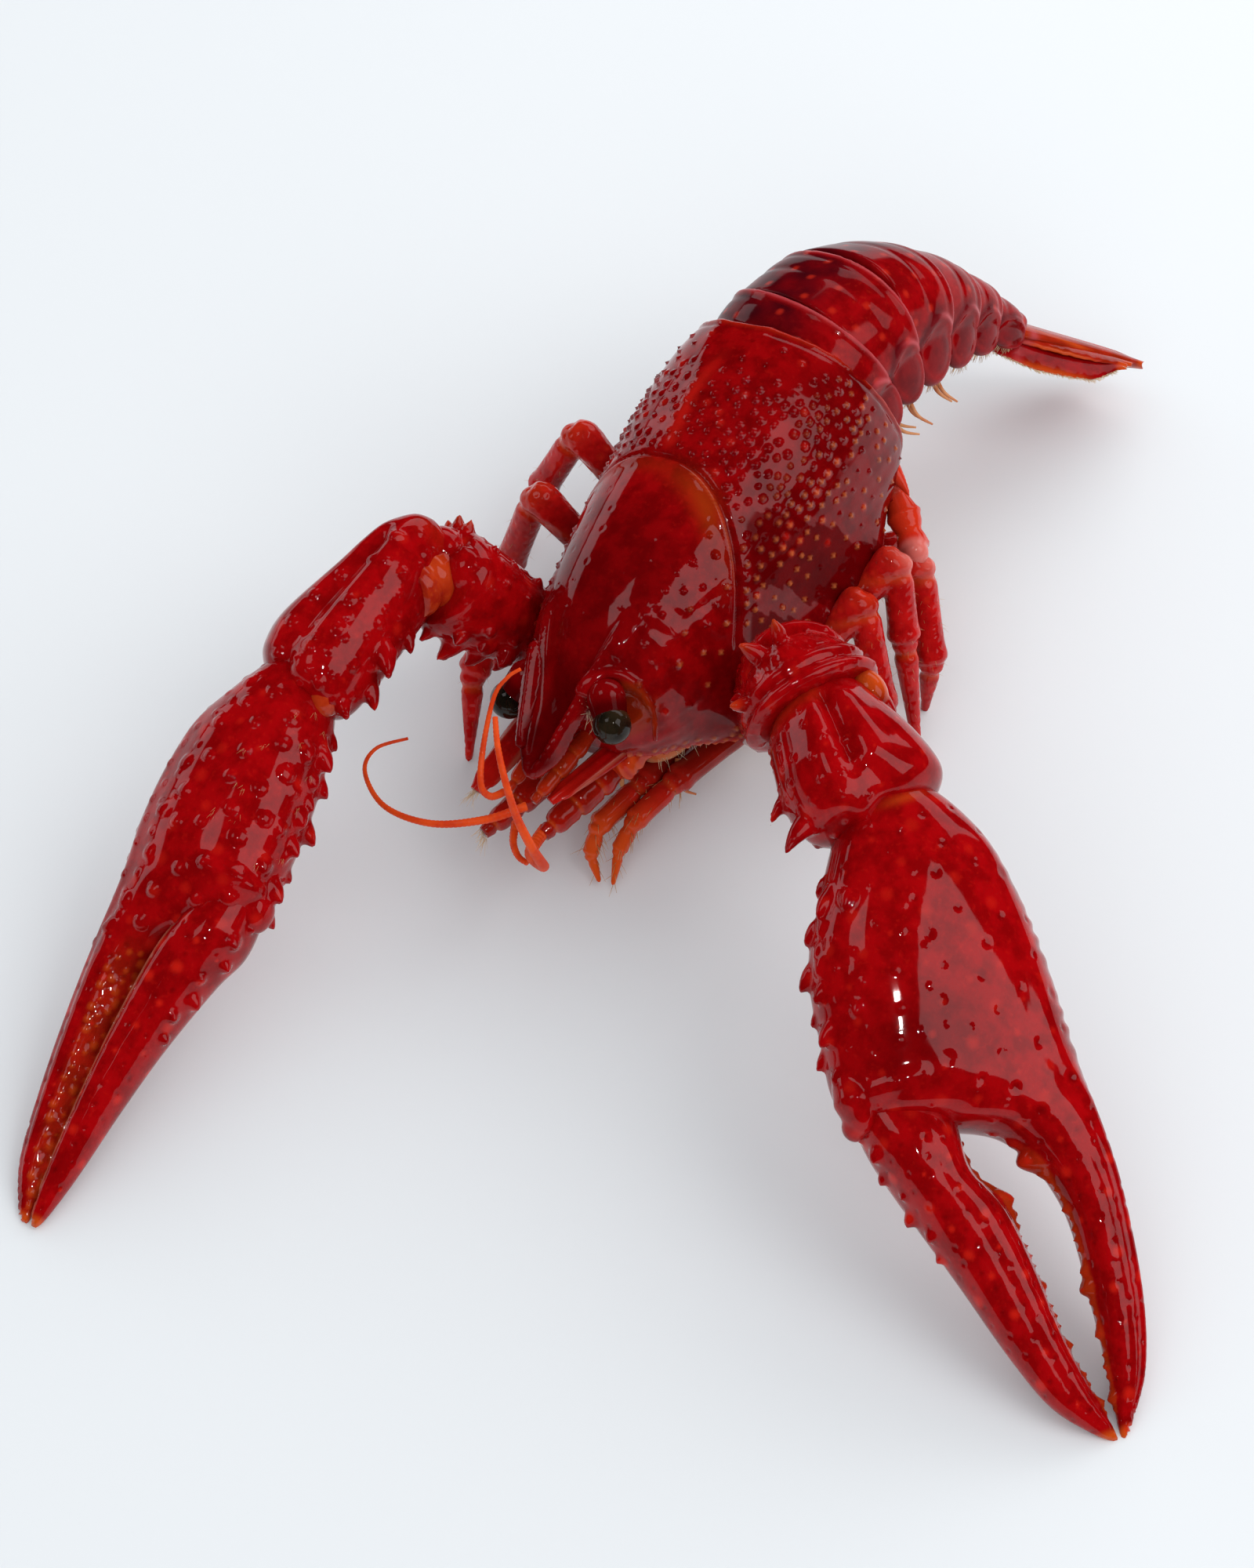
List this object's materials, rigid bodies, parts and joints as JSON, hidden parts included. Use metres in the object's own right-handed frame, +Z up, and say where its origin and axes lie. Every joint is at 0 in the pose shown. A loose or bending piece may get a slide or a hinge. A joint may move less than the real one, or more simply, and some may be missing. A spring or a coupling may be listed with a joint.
{
  "type": "cooked crayfish",
  "caption": "Whole boiled crayfish lying on its belly, glossy red shell, claws stretched forward with the left one open, tail curled down to the fan.",
  "frame": {"origin": "on the surface the animal lies on, under the middle of its bounding box", "axes": "+Z up, head towards -Y, the animal's own left towards +X"},
  "size_m": [0.1064, 0.1428, 0.0335],
  "materials": {
    "shell": "wet gloss, deep red",
    "limb": "wet gloss, red",
    "feeler": "satin, orange",
    "membrane": "soft, cream to tan",
    "eye": "high gloss, black"
  },
  "bodies": {
    "root": {"carapace": "shell", "belly": "membrane", "eyestalk_right": "shell", "eye_right": "eye", "antenna_right": "feeler", "antennule_right": "feeler", "maxilliped_right": "feeler", "scale_right": "limb", "antenna_base_right": "limb", "antennule_base_right": "limb", "eyestalk_left": "shell", "eye_left": "eye", "antenna_left": "feeler", "antennule_left": "feeler", "maxilliped_left": "feeler", "scale_left": "limb", "antenna_base_left": "limb", "antennule_base_left": "limb", "claw_right_merus": "limb", "claw_right_carpus": "limb", "claw_right_palm": "limb", "claw_right_dactyl": "limb", "claw_left_merus": "limb", "claw_left_carpus": "limb", "claw_left_palm": "limb", "claw_left_dactyl": "limb", "leg_left_1": "limb", "leg_left_2": "limb", "leg_left_3": "limb", "leg_left_4": "limb", "leg_right_1": "limb", "leg_right_2": "limb", "leg_right_3": "limb", "leg_right_4": "limb", "abdomen_1": "shell", "abdomen_2": "shell", "abdomen_3": "shell", "abdomen_4": "shell", "abdomen_5": "shell", "abdomen_6": "shell", "swimmeret_right_2": "membrane", "swimmeret_left_2": "membrane", "swimmeret_right_3": "membrane", "swimmeret_left_3": "membrane", "swimmeret_right_4": "membrane", "swimmeret_left_4": "membrane", "telson": "shell", "uropod_right_1": "limb", "uropod_right_2": "limb", "uropod_left_1": "limb", "uropod_left_2": "limb"}
  },
  "joints": []
}
